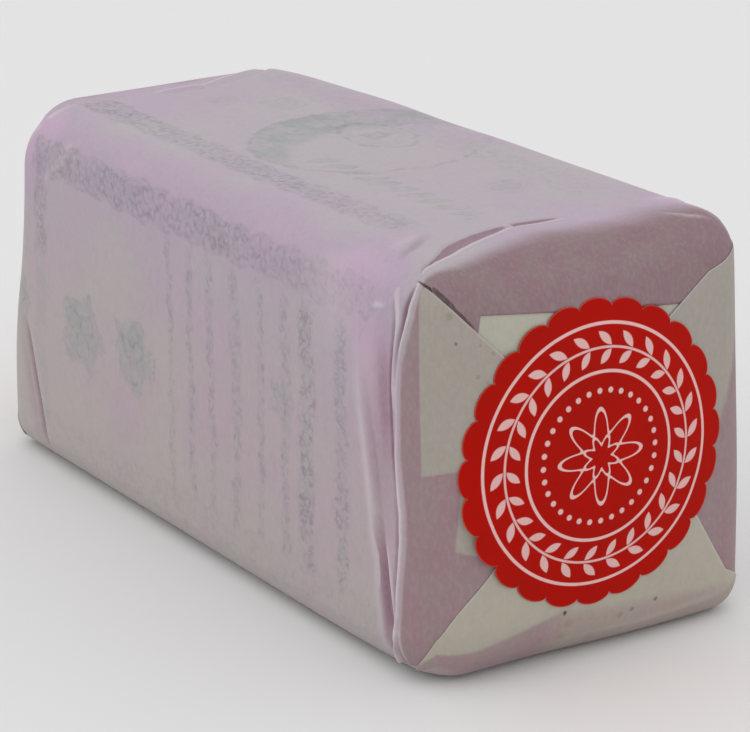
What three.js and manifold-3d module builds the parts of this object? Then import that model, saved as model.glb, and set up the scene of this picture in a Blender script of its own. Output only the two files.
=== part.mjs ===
// A brick of tea wrapped in thin paper. It lies on its side, and each end is folded shut with four flaps under a
// round scalloped paper seal. Millimetres, +Z up, +X towards the near end, origin in the middle of the underside.
import * as THREE from 'three';
import Module from 'manifold-3d';
import { mergeVertices } from 'three/addons/utils/BufferGeometryUtils.js';

// The pack, as a sharp box before its edges soften.
const LENGTH = 181;
const WIDTH = 78;
const HEIGHT = 85;

// How the packed tea rounds and swells that box.
const ROUND_TOP = 9;
const ROUND_BOTTOM = 8.5;
const ROUND_FAR_TOP = 19; // the far end's top corners are crushed rounder than the near end's
const END_BULGE = 3.6;
const TOP_SAG = 1.5;
const NARROWING = 0.013; // share of the width lost between mid-height and the top
const SHORTENING = 0.0175; // share of the length lost between mid-height and the top
const FAR_RISE = 0.01; // share of the height gained between the middle and the far end
const LEAN = 0.4; // sideways and lengthways, from mid-height to the top

// The folded ends. Heights of layers are measured outward from the swollen end.
const TOP_FLAP_LIFT = 0.3;
const SIDE_FLAP_LIFT = 0.6;
const BOTTOM_FLAP_LIFT = 0.9;
const FLAP_ROOT_DEPTH = 2; // how far a flap reaches into the pack that it is one with

// The seal.
const SEAL_RADIUS = 29.3; // at the cusps between scallops
const SEAL_CENTRE = [-1.9, 43.3]; // across the end, and above the underside
const SCALLOPS = 24;
const SCALLOP_RISE = 1.6;
const SEAL_TURN = 6; // degrees, of the first cusp
const SEAL_GAP = 0.3;
const SEAL_THICKNESS = 0.4;

// How finely the shapes are faceted.
const FLAT_STEP = 14;
const ARC_STEPS = 3; // on each side of a rounded edge's middle
const FLAP_STEPS = [10, 7]; // across and along, closer together where the pack's edges round
const SCALLOP_STEPS = 4;
const SEAL_RINGS = 4;
const MERGE_WITHIN = 1e-4;

const HALF = new THREE.Vector3(LENGTH / 2, WIDTH / 2, HEIGHT / 2);

// Each flap lies between two side edges, given from its root to its tip as [across, above the underside]. Seen from
// the flap's tip, looking back at its root, the first side edge is on the right.
const FLAPS = {
  top: {
    lift: TOP_FLAP_LIFT,
    sides: [
      [[HALF.y, HEIGHT], [30, 68]],
      [[-HALF.y, HEIGHT], [-34, 75.9]],
    ],
  },
  left: {
    lift: SIDE_FLAP_LIFT,
    sides: [
      [[-HALF.y, 83.2], [-17, 61.2], [-6, 50.2]],
      [[-HALF.y, 3], [-24, 25], [-8, 42]],
    ],
  },
  right: {
    lift: SIDE_FLAP_LIFT,
    sides: [
      [[HALF.y, 4], [24, 24], [8, 42]],
      [[HALF.y, 79], [28, 75], [2, 58]],
    ],
  },
  bottom: {
    lift: BOTTOM_FLAP_LIFT,
    sides: [
      [[-HALF.y, 0], [-37.9, 10.8], [-24, 26.5], [-8, 44]],
      [[HALF.y, 0], [34.9, 9], [23.4, 24.3], [9, 46]],
    ],
  },
};

const PAPER = new THREE.MeshStandardMaterial({ color: '#aa9da5', roughness: 0.75, metalness: 0 });
const SEAL_RED = new THREE.MeshStandardMaterial({ color: '#b81409', roughness: 0.55, metalness: 0 });

// Where a point of the sharp box lies on the real pack, or outside it by lift.
function softened(x, y, z, lift = 0) {
  const point = new THREE.Vector3(x, y, z - HALF.z);
  const high = 0.5 + 0.5 * Math.tanh((3 * point.z) / HALF.z);
  const far = Math.max(0, -point.x / HALF.x) ** 4;
  const radius = THREE.MathUtils.lerp(ROUND_BOTTOM, ROUND_TOP, high) + (ROUND_FAR_TOP - ROUND_TOP) * far * high;
  const inner = HALF.clone().subScalar(radius);
  const core = point.clone().clamp(inner.clone().negate(), inner);
  const outward = point.sub(core).normalize();
  const round = core.addScaledVector(outward, radius + lift);

  const share = round.clone().divide(HALF);
  const [midX, midY, midZ] = share.toArray().map((value) => 1 - value ** 2);
  round.z -= TOP_SAG * Math.max(0, share.z) * midX * midY;
  round.x += END_BULGE * share.x * midY * midZ;
  round.y *= 1 - NARROWING * share.z;
  round.x *= 1 - SHORTENING * share.z;
  round.z = (round.z + HALF.z) * (1 - FAR_RISE * share.x);
  round.x += LEAN * share.z;
  round.y += LEAN * share.z;
  return round;
}

// The stations along one side of the box: even ones on the flat, and ones at equal angles round each edge.
function stations(half, radius) {
  const flatHalf = half - radius;
  const flatSteps = Math.round((2 * flatHalf) / FLAT_STEP);
  const flat = Array.from({ length: flatSteps + 1 }, (_, i) => flatHalf * ((2 * i) / flatSteps - 1));
  const arc = Array.from({ length: ARC_STEPS }, (_, i) => {
    const angle = ((i + 1) / ARC_STEPS) * (Math.PI / 4);
    return flatHalf + radius * Math.tan(angle);
  });
  return [...arc.map((value) => -value).reverse(), ...flat, ...arc];
}

function geometryOf(points, triangles) {
  const geometry = new THREE.BufferGeometry();
  geometry.setAttribute('position', new THREE.Float32BufferAttribute(points.flatMap((p) => p.toArray()), 3));
  geometry.setIndex(triangles.flat());
  return mergeVertices(geometry, MERGE_WITHIN);
}

// The six sides of the box as grids, softened.
function bodyGeometry() {
  const lines = [stations(HALF.x, ROUND_TOP), stations(HALF.y, ROUND_TOP), stations(HALF.z, ROUND_TOP)];
  const points = [];
  const triangles = [];
  for (const axis of [0, 1, 2]) {
    const [u, v] = [(axis + 1) % 3, (axis + 2) % 3];
    const rows = lines[v].length;
    for (const side of [1, -1]) {
      const first = points.length;
      for (const alongU of lines[u]) {
        for (const alongV of lines[v]) {
          const at = [];
          at[axis] = side * HALF.getComponent(axis);
          at[u] = alongU;
          at[v] = alongV;
          points.push(softened(at[0], at[1], at[2] + HALF.z));
        }
      }
      for (let i = 0; i < lines[u].length - 1; i += 1) {
        for (let j = 0; j < rows - 1; j += 1) {
          const a = first + i * rows + j;
          const [b, c, d] = [a + rows, a + rows + 1, a + 1];
          triangles.push(...(side > 0 ? [[a, b, c], [a, c, d]] : [[a, c, b], [a, d, c]]));
        }
      }
    }
  }
  return geometryOf(points, triangles);
}

// A layer on one end, from a flat pattern of [across, above the underside] points and its triangles. It lies between
// two heights off the end and is closed by a wall along every open edge. The far end is the near one turned about Z.
function layerGeometry({ places, faces }, end, low, high) {
  const onEnd = (lift) => places.map(([y, z]) => softened(end * HALF.x, end * y, z, lift));
  const count = places.length;
  const edges = new Set(faces.flatMap(([a, b, c]) => [`${a},${b}`, `${b},${c}`, `${c},${a}`]));
  const open = [...edges].map((edge) => edge.split(',').map(Number)).filter(([a, b]) => !edges.has(`${b},${a}`));
  const triangles = [
    ...faces,
    ...faces.map(([a, b, c]) => [a + count, c + count, b + count]),
    ...open.flatMap(([a, b]) => [[b, a, a + count], [b, a + count, b + count]]),
  ];
  return geometryOf([...onEnd(high), ...onEnd(low)], triangles);
}

// The place at a share of the way along a chain of points, each leg counting by its length.
function alongChain(chain, share) {
  const path = new THREE.CurvePath();
  for (let i = 0; i < chain.length - 1; i += 1) {
    path.add(new THREE.LineCurve(new THREE.Vector2(...chain[i]), new THREE.Vector2(...chain[i + 1])));
  }
  return path.getPointAt(share);
}

// A flap's flat pattern: a grid stretched between its two side edges.
function flapPattern([firstSide, secondSide]) {
  const [across, along] = FLAP_STEPS;
  const places = [];
  const faces = [];
  for (let i = 0; i <= across; i += 1) {
    const shareAcross = 0.5 - 0.5 * Math.cos((Math.PI * i) / across);
    for (let j = 0; j <= along; j += 1) {
      const shareAlong = 1 - Math.cos((Math.PI / 2) * (j / along));
      const from = alongChain(firstSide, shareAlong);
      places.push(from.lerp(alongChain(secondSide, shareAlong), shareAcross).toArray());
      if (i < across && j < along) {
        const a = i * (along + 1) + j;
        const [b, c, d] = [a + along + 1, a + along + 2, a + 1];
        faces.push([a, b, c], [a, c, d]);
      }
    }
  }
  return { places, faces };
}

// Radius of the seal's edge: round lobes that meet in cusps.
function sealEdge(angle) {
  const lobe = (SCALLOPS * (angle - THREE.MathUtils.degToRad(SEAL_TURN))) / 2;
  return SEAL_RADIUS + SCALLOP_RISE * Math.sqrt(Math.abs(Math.sin(lobe)));
}

// The seal's flat pattern: rings of points round a middle one.
function sealPattern() {
  const steps = SCALLOPS * SCALLOP_STEPS;
  const places = [SEAL_CENTRE];
  const faces = [];
  for (let ring = 1; ring <= SEAL_RINGS; ring += 1) {
    for (let i = 0; i < steps; i += 1) {
      const angle = (i / steps) * 2 * Math.PI + THREE.MathUtils.degToRad(SEAL_TURN);
      const radius = (ring === SEAL_RINGS ? sealEdge(angle) : SEAL_RADIUS * (ring / SEAL_RINGS));
      places.push([SEAL_CENTRE[0] + radius * Math.cos(angle), SEAL_CENTRE[1] + radius * Math.sin(angle)]);
      const next = (i + 1) % steps;
      const outer = 1 + (ring - 1) * steps;
      const inner = outer - steps;
      if (ring === 1) {
        faces.push([0, outer + i, outer + next]);
      } else {
        faces.push([inner + i, outer + i, outer + next], [inner + i, outer + next, inner + next]);
      }
    }
  }
  return { places, faces };
}

const wasm = await Module();
wasm.setup();

function solidOf(geometry) {
  const vertProperties = new Float32Array(geometry.attributes.position.array);
  const triVerts = new Uint32Array(geometry.index.array);
  return new wasm.Manifold(new wasm.Mesh({ numProp: 3, vertProperties, triVerts }));
}

function geometryOfSolid(solid) {
  const { vertProperties, triVerts } = solid.getMesh();
  const geometry = new THREE.BufferGeometry();
  geometry.setAttribute('position', new THREE.BufferAttribute(vertProperties, 3));
  geometry.setIndex(new THREE.BufferAttribute(triVerts, 1));
  return geometry;
}

// The filled pack with the flaps of both ends, as one solid.
function packGeometry() {
  let solid = solidOf(bodyGeometry());
  for (const end of [1, -1]) {
    for (const { lift, sides } of Object.values(FLAPS)) {
      solid = solid.add(solidOf(layerGeometry(flapPattern(sides), end, -FLAP_ROOT_DEPTH, lift)));
    }
  }
  return geometryOfSolid(solid);
}

function sealGeometry(end) {
  const low = BOTTOM_FLAP_LIFT + SEAL_GAP;
  return layerGeometry(sealPattern(), end, low, low + SEAL_THICKNESS);
}

function named(name, geometry, material) {
  geometry.computeVertexNormals();
  const mesh = new THREE.Mesh(geometry, material);
  mesh.name = name;
  return mesh;
}

const object = new THREE.Group();
object.add(named('pack', packGeometry(), PAPER));
object.add(named('seal_near', sealGeometry(1), SEAL_RED));
object.add(named('seal_far', sealGeometry(-1), SEAL_RED));

// The lean and the swelling aren't the same all round, so the origin is set from the finished box.
const box = new THREE.Box3().setFromObject(object);
const middle = box.getCenter(new THREE.Vector3());
object.position.set(-middle.x, -middle.y, -box.min.z);

export default object;
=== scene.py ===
"""A brick of tea wrapped in thin lilac paper. It lies on its side, and each end is folded shut with four
flaps under a round scalloped paper seal.

Everything is drawn on the pack as a sharp box, in millimetres: +X towards the near end, +Y across from
front to back, +Z up from the side it lies on. soften() turns places on that box into places on the real
pack, which its packed tea rounds, swells and leans. Beyond an end's borders a place (across, up) goes on
round the box's edge.
"""
import math
from collections import namedtuple

import bpy
import numpy as np
from mathutils import Matrix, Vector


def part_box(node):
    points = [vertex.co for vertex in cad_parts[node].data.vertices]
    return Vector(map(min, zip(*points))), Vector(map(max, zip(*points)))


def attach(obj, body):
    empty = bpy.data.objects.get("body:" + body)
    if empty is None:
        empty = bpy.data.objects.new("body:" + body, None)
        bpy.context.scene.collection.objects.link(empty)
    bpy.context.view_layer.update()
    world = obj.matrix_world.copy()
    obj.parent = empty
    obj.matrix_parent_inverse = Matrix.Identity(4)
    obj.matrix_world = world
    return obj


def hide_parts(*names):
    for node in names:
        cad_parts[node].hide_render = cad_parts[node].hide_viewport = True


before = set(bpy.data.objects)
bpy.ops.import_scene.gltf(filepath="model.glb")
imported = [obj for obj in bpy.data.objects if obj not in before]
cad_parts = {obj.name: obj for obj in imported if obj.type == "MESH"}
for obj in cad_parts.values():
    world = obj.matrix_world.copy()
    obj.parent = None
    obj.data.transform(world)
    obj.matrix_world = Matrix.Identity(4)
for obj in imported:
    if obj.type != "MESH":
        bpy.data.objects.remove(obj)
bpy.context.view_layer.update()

METRE = 1000.0  # millimetres

# ---------------------------------------------------------------- the pack's sizes, as its solids have them
LENGTH = 181.0
WIDTH = 78.0
HEIGHT = 85.0
HALF = np.array([LENGTH, WIDTH, HEIGHT]) / 2
GIRTH = 2 * (WIDTH + HEIGHT)

ROUND_TOP = 9.0
ROUND_BOTTOM = 8.5
ROUND_FAR_TOP = 19.0  # the far end's top corners are crushed rounder than the near end's
ROUND_NEAR_FOOT = 13.0  # and so is the near end's lower front corner
HALVES_BLEND = 3  # how sharply the rounding changes between top and bottom, and between front and back
FAR_POWER = 4  # how closely the crushed corners keep to the far end
NEAR_POWER = 6  # and to the near end
END_BULGE = 3.6
TOP_SAG = 1.5
NARROWING = 0.013  # share of the width lost between mid-height and the top
SHORTENING = 0.0175  # share of the length lost between mid-height and the top
FAR_RISE = 0.01  # share of the height gained between the middle and the far end
LEAN = 0.4  # sideways and lengthways, from mid-height to the top

# The paper round the pack lies INSET inside its solids, and the flaps at these heights outside that paper.
INSET = 0.3
TOP_LIFT = 0.2
SIDE_LIFT = 0.42
BOTTOM_LIFT = 0.64
PAPER_THICKNESS = 0.16

SEAL_RADIUS = 29.3  # at the cusps between scallops
SEAL_CENTRE = np.array([-1.9, 43.3])  # across the end, and above the underside
SCALLOPS = 24
SCALLOP_RISE = 1.6
SEAL_TURN = math.radians(6)  # of the first cusp
SEAL_THICKNESS = 0.2
SEAL_GAP = 0.06

# ---------------------------------------------------------------- colours, as linear light
LILAC = (0.446, 0.350, 0.412)
PINK = (0.520, 0.362, 0.460)
STALE = (0.436, 0.392, 0.388)  # where the paper has greyed
COOL_TINT = (0.440, 0.375, 0.670)  # painted cast of cool skylight on the paper on top
WARM_TINT = (0.440, 0.375, 0.280)  # and a painted warmer cast low down
TINT_SHARE = 0.12
PAINTED_HIGHLIGHT = (0.640, 0.575, 0.600)  # painted highlight on the crests of folds and along the flaps' borders
PAINTED_FOLD_SHADE = (0.262, 0.150, 0.190)  # painted shade inside folds and pockets, dark pink
PAINTED_GAP_SHADOW = (0.085, 0.055, 0.052)  # painted shadow, near black, in the gaps between two papers
END_COLOURS = {
    # the paper folded over the end, pinker, and darker partly as painted shade; and its greyer mottling
    "top": ((0.252, 0.152, 0.172), (0.250, 0.186, 0.192)),
    "left": ((0.305, 0.192, 0.210), (0.285, 0.218, 0.220)),
    "right": ((0.300, 0.192, 0.208), (0.285, 0.220, 0.222)),
    "bottom": ((0.345, 0.235, 0.245), (0.330, 0.275, 0.262)),
}
CELADON = (0.430, 0.415, 0.345)  # the inner paper, bare
SIDE_CELADON = (0.352, 0.320, 0.278)  # as the left and right flaps show it
BOTTOM_CELADON = (0.430, 0.402, 0.325)  # and as the bottom flap does
CLOUDED_CELADON = (0.365, 0.320, 0.298)
FIBRE = (0.680, 0.630, 0.640)
PULP = (0.220, 0.170, 0.190)
PRINT = (0.205, 0.165, 0.225)
PRINT_HAZE = (0.300, 0.318, 0.318)
SEAL_RED = (0.425, 0.005, 0.0015)
SEAL_DEEP_RED = (0.330, 0.007, 0.003)
SEAL_RIM = (0.640, 0.180, 0.130)  # its cut paper edge
SEAL_PRINT = (0.780, 0.520, 0.500)
BROWN = (0.300, 0.200, 0.110)
SOOT = (0.040, 0.045, 0.040)
OLIVE = (0.240, 0.235, 0.130)
FLOOR = (0.790, 0.790, 0.790)


# ---------------------------------------------------------------- shape
def unit(vectors):
    """The vectors at length one."""
    length = np.linalg.norm(vectors, axis=-1, keepdims=True)
    return vectors / np.maximum(length, 1e-9)


def soften(places, lift):
    """Where places on the sharp box lie on the real pack, or outside it by lift.

    A place is drawn in to a core box, smaller all round by the edge's radius, and pushed out from it again
    by that radius plus lift; the radius grows towards the crushed corners. The round box then sags on top
    and bulges at its ends, each by a product of parabolas over the other two directions, and narrows,
    shortens, tilts and leans in proportion to height or length.
    """
    point = places - (0, 0, HALF[2])
    high = 0.5 + 0.5 * np.tanh(HALVES_BLEND * point[..., 2] / HALF[2])
    front = 0.5 - 0.5 * np.tanh(HALVES_BLEND * point[..., 1] / HALF[1])
    far = np.maximum(0, -point[..., 0] / HALF[0]) ** FAR_POWER
    near = np.maximum(0, point[..., 0] / HALF[0]) ** NEAR_POWER
    radius = ROUND_BOTTOM + (ROUND_TOP - ROUND_BOTTOM) * high + (ROUND_FAR_TOP - ROUND_TOP) * far * high
    radius = radius + (ROUND_NEAR_FOOT - ROUND_BOTTOM) * near * front * (1 - high)
    inner = HALF - radius[..., None]
    core = np.clip(point, -inner, inner)
    x, y, z = np.moveaxis(core + unit(point - core) * (radius + lift)[..., None], -1, 0)

    middle_x = 1 - (x / HALF[0]) ** 2
    middle_y = 1 - (y / HALF[1]) ** 2
    middle_z = 1 - (z / HALF[2]) ** 2
    z = z - TOP_SAG * np.maximum(0, z / HALF[2]) * middle_x * middle_y
    rise = z / HALF[2]
    x = x + END_BULGE * x / HALF[0] * middle_y * middle_z
    y = y * (1 - NARROWING * rise)
    x = x * (1 - SHORTENING * rise)
    z = (z + HALF[2]) * (1 - FAR_RISE * x / HALF[0])
    return np.stack([x + LEAN * rise, y + LEAN * rise, z], axis=-1)


def walk_round(distance):
    """Places (across, up) on the box's cross-section by the distance walked round it: up the front from its
    lower edge, back over the top, down the back and forward underneath."""
    corners = np.cumsum([0, HEIGHT, WIDTH, HEIGHT, WIDTH])
    across = np.interp(distance, corners, HALF[1] * np.array([-1, -1, 1, 1, -1]))
    up = np.interp(distance, corners, [0, HEIGHT, HEIGHT, 0, 0])
    return across, up


def on_end(across, up):
    """Places on the sharp box from places (across, up) on the near end. What runs past the end's borders
    folds back along the side it meets."""
    past_side = np.maximum(0, np.abs(across) - HALF[1])
    past_top = np.maximum(0, np.maximum(up - HEIGHT, -up))
    x = HALF[0] - np.maximum(past_side, past_top)
    y = np.clip(across, -HALF[1], HALF[1])
    return np.stack([x, y, np.clip(up, 0, HEIGHT)], axis=-1)


def turned(line):
    """A line of places, turned half round about the upright axis."""
    return np.array(line, float) * (-1, -1, 1)


def distance_to(places, line):
    """Distance of each place to a line of straight legs, and the share of the line's length where it is
    nearest."""
    line = np.array(line, float)
    legs = np.linalg.norm(np.diff(line, axis=0), axis=1)
    begun = np.concatenate([[0], np.cumsum(legs)])
    nearest = np.full(places.shape[:-1], np.inf)
    share = np.zeros(places.shape[:-1])
    for start, stop, leg, before in zip(line[:-1], line[1:], legs, begun[:-1]):
        along = np.clip((places - start) @ (stop - start) / leg**2, 0, 1)
        distance = np.linalg.norm(places - start - along[..., None] * (stop - start), axis=-1)
        closer = distance < nearest
        nearest = np.where(closer, distance, nearest)
        share = np.where(closer, (before + along * leg) / begun[-1], share)
    return nearest, share


# The pleated paper on the front before the left flap: at each height, how far along the front the flap's
# fold stands up as a ridge, and where the pleated sheet comes out of the smooth paper as its hem.
GUSSET = np.array([
    # height, ridge, hem
    (1.5, 76.6, 70.5), (6.5, 77.2, 70.0), (10.0, 78.7, 69.6), (14.0, 79.6, 69.4), (19.5, 79.9, 69.0),
    (25.0, 80.7, 68.4), (30.0, 81.2, 67.6), (35.5, 81.2, 66.4), (41.5, 80.4, 65.2), (47.0, 79.6, 64.2),
    (53.5, 79.6, 62.8), (60.0, 79.7, 62.2), (66.0, 80.4, 63.0), (71.5, 82.4, 67.0), (76.0, 84.2, 72.5),
    (80.0, 85.0, 76.5), (84.0, 85.4, 80.5),
])
# The same on the top, by distance across it: how far along the top the top flap's fold runs, and the hem
# behind it. Between them the paper falls into a pocket, from POCKET's first place across to its last,
# pinched at the middle one.
TOP_EDGE = np.array([
    # across, fold, hem
    (-39.5, 84.6, 83.6), (-37.5, 83.2, 82.2), (-35.0, 82.9, 81.9), (-32.5, 82.9, 81.3), (-30.0, 82.3, 80.0),
    (-28.0, 81.2, 78.2), (-26.0, 80.2, 76.3), (-23.0, 78.4, 74.1), (-19.0, 76.5, 72.2), (-15.0, 74.9, 70.6),
    (-11.0, 73.4, 69.5), (-7.8, 71.7, 68.8), (-5.6, 71.0, 68.4), (-2.8, 71.6, 68.1), (0.0, 71.9, 68.4),
    (3.0, 71.8, 68.7), (6.0, 71.4, 69.4), (9.0, 72.2, 71.2), (12.0, 71.6, 70.6), (15.5, 70.3, 69.0),
    (19.0, 69.2, 67.6), (25.0, 70.0, 67.6), (33.0, 74.6, 71.6), (42.0, 82.5, 79.8),
])
POCKET = (-38.0, -5.2, 9.0)
POCKET_SLOPE = 4.0  # from its first place and its last to where it is a full pocket
PINCH_WIDTH = 0.7


# A fold or dent: the line that it follows on the box, its half width, its height (a dent's is below 0), its
# tone, which is a painted highlight along it (or, below 0, painted shade, dark and pink), and whether it
# fades out towards its ends.
Crease = namedtuple("Crease", "line width height tone fades", defaults=[True])


def on_front(*points):
    """A line on the front from points (along, up)."""
    return [(x, -HALF[1], z) for x, z in points]


def on_top(*points):
    """A line on the top from points (along, across)."""
    return [(x, y, HEIGHT) for x, y in points]


def on_near(*points):
    """A line on the near end from points (across, up)."""
    return [(HALF[0], y, z) for y, z in points]


# The fold on the front that runs up from its foot.
SIDE_FOLD = on_front(
    (66.0, 64), (66.2, 58), (68.0, 48), (70.3, 37), (71.4, 29), (73.0, 24), (73.8, 15), (74.8, 6)
)
# Folds that the pack has twice, the second time turned half round.
NEAR_CREASES = [
    Crease(SIDE_FOLD, 1.7, 0.5, 0.5),
    Crease(on_front((71.8, 74.7), (76.2, 75.6)), 0.45, 0.25, 0.9),
    Crease(on_front((50, 80), (58, 72), (63, 64)), 8.0, 0.0, 0.3),
]
FAR_CREASES = [
    Crease(on_front((-54.5, 82.2), (-58.4, 75.6), (-67.7, 68.9)), 1.0, 0.3, 0.4),
    Crease(on_top((-71.9, -28.2), (-73.4, -35.9)) + on_front((-76.0, 81.5), (-79.0, 76.0)), 1.1, 0.35, 0.7),
    Crease(on_front((-78.6, 33), (-76.0, 26), (-73.2, 18), (-70.4, 10), (-68.4, 3)), 1.2, -1.2, -1.3),
    Crease(on_front((-80.4, 30), (-77.9, 21), (-74.9, 12), (-72.6, 4)), 1.8, -0.5, -0.35),
    Crease(on_front((-76.2, 33), (-73.8, 26), (-71.2, 18), (-68.4, 10), (-66.4, 3)), 1.1, 0.35, 0.25),
]
# Folds that it has once.
LONE_CREASES = [
    # the top's near edge, pressed soft, and the small folds along it
    Crease(on_near((-30, HEIGHT), (30, HEIGHT)), 9.0, -2.2, 0.0),
    Crease(on_top((66.4, -22.6), (70.0, -27.2), (72.4, -30.2), (74.6, -34.6)), 1.0, -0.45, -0.6),
    Crease(on_top((65.4, -24.0), (68.4, -28.4), (70.4, -33.0)), 1.6, 0.3, 0.25),
    Crease(on_top((80.6, 23.8), (84.8, 28.0), (87.0, 32.6)), 0.5, 0.25, 0.5),
    # the far end's front corner and edges, pressed in
    Crease(on_front((-HALF[0], 8), (-HALF[0], 60)), 13.0, -0.5, 0.0, False),
    Crease(on_top((-HALF[0], -HALF[1]), (-HALF[0], 16)), 15.0, -1.1, 0.0, False),
    # the soft fold along the near end's foot, and the shade below it
    Crease(on_near((37, 8.6), (32, 6.3), (27, 5.2), (10, 4.4), (-6, 4.2)), 1.0, 0.25, 0.3),
    Crease(on_near((34, 3.0), (12, 1.6)), 1.8, 0.0, -0.3),
]
CREASES = NEAR_CREASES + FAR_CREASES
CREASES += [crease._replace(line=turned(crease.line)) for crease in CREASES] + LONE_CREASES

# The second pleat beside the ridge on the front, which runs into it, the gap between them and the shade
# before them. Their tones paint a highlight on the pleat, and shade in the gap and before them.
PLEAT_LINE = on_front(
    (79.0, 81), (80.2, 78), (80.9, 75.5), (80.8, 72), (79.9, 68), (79.3, 64), (78.9, 60), (79.0, 56)
)
PLEAT_GAP = on_front((85.0, 82.5), (83.4, 77), (82.3, 73), (81.0, 69.5), (80.0, 65), (79.7, 61.5))
PLEAT_SHADE = on_front(
    (79.2, 77), (79.3, 73), (78.5, 68), (77.8, 64), (77.6, 59), (77.7, 53), (78.2, 46), (79.2, 40)
)
# Sharper folds, on each near flap's own sheet, whose tones paint highlights on their crests and shade in
# their grooves and gaps. The far end's flaps have them too, turned half round with the sheet.
PLEATS = {
    "left": [
        Crease(PLEAT_LINE, 0.75, 0.5, 0.95),
        Crease(PLEAT_GAP, 0.8, -0.8, -1.5),
        Crease(PLEAT_SHADE, 0.5, -0.5, -1.2),
        Crease(on_front((75.4, 68), (75.4, 60), (75.6, 54), (76.4, 46)), 1.8, -0.3, -0.5),
        Crease(on_front((75.6, 70), (75.0, 58), (75.2, 46), (76.8, 32)), 4.0, 0.0, -0.42),
        Crease(on_front((79.3, 40), (79.9, 34), (79.7, 28), (79.0, 20), (79.3, 12)), 0.85, -0.3, -0.75),
        # below it, the groove, painted dark as shade, and the fold beside it, painted pale as a highlight
        Crease(on_front((73.4, 31), (74.1, 25), (75.0, 19.5), (76.0, 13.5), (76.9, 6)), 1.8, -1.0, -1.5),
        Crease(on_front((75.3, 29), (76.8, 25), (77.6, 20), (78.5, 13.5), (78.9, 9)), 0.5, 0.35, 0.8),
        Crease(on_front((76.9, 7.4), (76.4, 4.5), (75.8, 1.6)), 0.45, -0.5, -1.6, False),
        Crease(on_front((80.4, 13), (80.2, 7), (80.6, 2)), 0.45, 0.3, 0.6),
        Crease(on_front((68.6, 58), (70.4, 48), (72.4, 38), (73.6, 31)), 1.5, -0.3, -0.5),
    ],
    "top": [
        # the painted shadow in the gap behind the left flap's upper border, and painted shade at its corner
        Crease(on_near((-38.2, 84.3), (-34.3, 79.6), (-33.0, 78.1)), 0.75, -0.05, -2.6, False),
        Crease(on_near((-36.0, 81.6), (-31.8, 76.6), (-26.4, 70.9)), 0.6, -0.05, -2.5),
        Crease(on_near((-37.2, 84.8), (-35.2, 82.4)), 1.9, -0.05, -1.1),
    ],
    "right": [],
    "bottom": [],
}

# Soft fields of colour: the line in their middle, their reach, and how much pinker (or, below 0, greyer)
# they are.
Wash = namedtuple("Wash", "line reach pinker")
WASHES = [
    Wash(on_front((-64, 84), (76, 84)), 9, 1.0),
    Wash(on_front((-72, 84), (-78, 74)), 9, 1.3),
    Wash(on_front((-50, 75), (60, 74)), 7, 0.45),
    Wash(on_front((-80, 44), (50, 46)), 12, -0.25),
    Wash(on_front((66, 78), (74, 64)), 8, 0.7),
    Wash(on_front((75, 60), (77, 50)), 3, 0.8),
    Wash(on_front((76, 30), (78, 6)), 4, 0.5),
    Wash(on_front((-60, 6), (70, 6)), 24, -0.6),
    Wash(on_front((-89, 8), (-89, 60)), 10, -1.2),
    Wash(on_front((-34, 60), (-28, 56)), 7, -0.6),
    Wash(on_front((10, 52), (14, 40)), 9, 0.3),
    Wash(on_top((-90, 30), (66, 38)), 18, -1.05),
    Wash(on_top((-40, 12), (10, 14)), 12, -0.2),
    Wash(on_top((-82, 2), (30, 10)), 14, -0.25),
    Wash(on_top((-12, -2), (0, 2)), 8, -0.4),
    Wash(on_top((-10, -26), (64, -25)), 7, 0.7),
    Wash(on_top((78, -16), (78, 30)), 8, 0.4),
]
WASHES += [wash._replace(line=turned(wash.line)) for wash in WASHES]

# Slow waves of the paper over loose tea.
WAVE_SEED = 7
WAVES = 16
WAVE_LENGTHS = (30.0, 90.0)
WAVE_HEIGHT = 0.05


def waves(places):
    """The sum of plane sine waves over the box, in seeded directions and lengths."""
    draw = np.random.default_rng(WAVE_SEED)
    total = np.zeros(places.shape[:-1])
    for _ in range(WAVES):
        direction = unit(draw.normal(size=3))
        length = draw.uniform(*WAVE_LENGTHS)
        total += np.sin(places @ direction * (2 * math.pi / length) + draw.uniform(0, 2 * math.pi))
    return WAVE_HEIGHT * total


def creased(places, creases, quality, power=2):
    """The heights or tones that creases give the places, summed. A crease falls off from its line as a bell,
    whose flanks a higher power makes steeper, and one that fades falls towards its ends as a sine's root."""
    total = np.zeros(places.shape[:-1])
    for crease in creases:
        distance, share = distance_to(places, crease.line)
        fade = np.sqrt(np.sin(math.pi * np.clip(share, 0.02, 0.98))) if crease.fades else 1.0
        total += getattr(crease, quality) * np.exp(-((distance / crease.width) ** power)) * fade
    return total


def above_rest(places):
    """0 where the pack rests on its underside, rising to 1 at the end of the lower edges' rounding."""
    return np.clip(places[..., 2] / ROUND_BOTTOM, 0, 1)


def relief(places):
    """Height of the paper's waves and creases over the softened box, none where the pack rests on its
    underside."""
    return (waves(places) - INSET + creased(places, CREASES, "height")) * above_rest(places)


def smooth_step(values, low, high):
    """From 0 at low to 1 at high along the curve 3t^2 - 2t^3."""
    t = np.clip((values - low) / (high - low), 0, 1)
    return t * t * (3 - 2 * t)


def pocket(across):
    """1 across the top where its paper falls into the pocket behind the flap's fold, 0 elsewhere."""
    first, pinch, last = POCKET
    inside = smooth_step(across, first, first + POCKET_SLOPE) * smooth_step(across, last, last - POCKET_SLOPE)
    return inside * (1 - np.exp(-(((across - pinch) / PINCH_WIDTH) ** 2)))


# How far the smooth paper draws in below a plain flap, and how much further below the pleated sheet and the
# pocket.
DRAWN_IN = 0.35
PLEATS_IN = 1.15
POCKET_IN = 0.6
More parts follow.
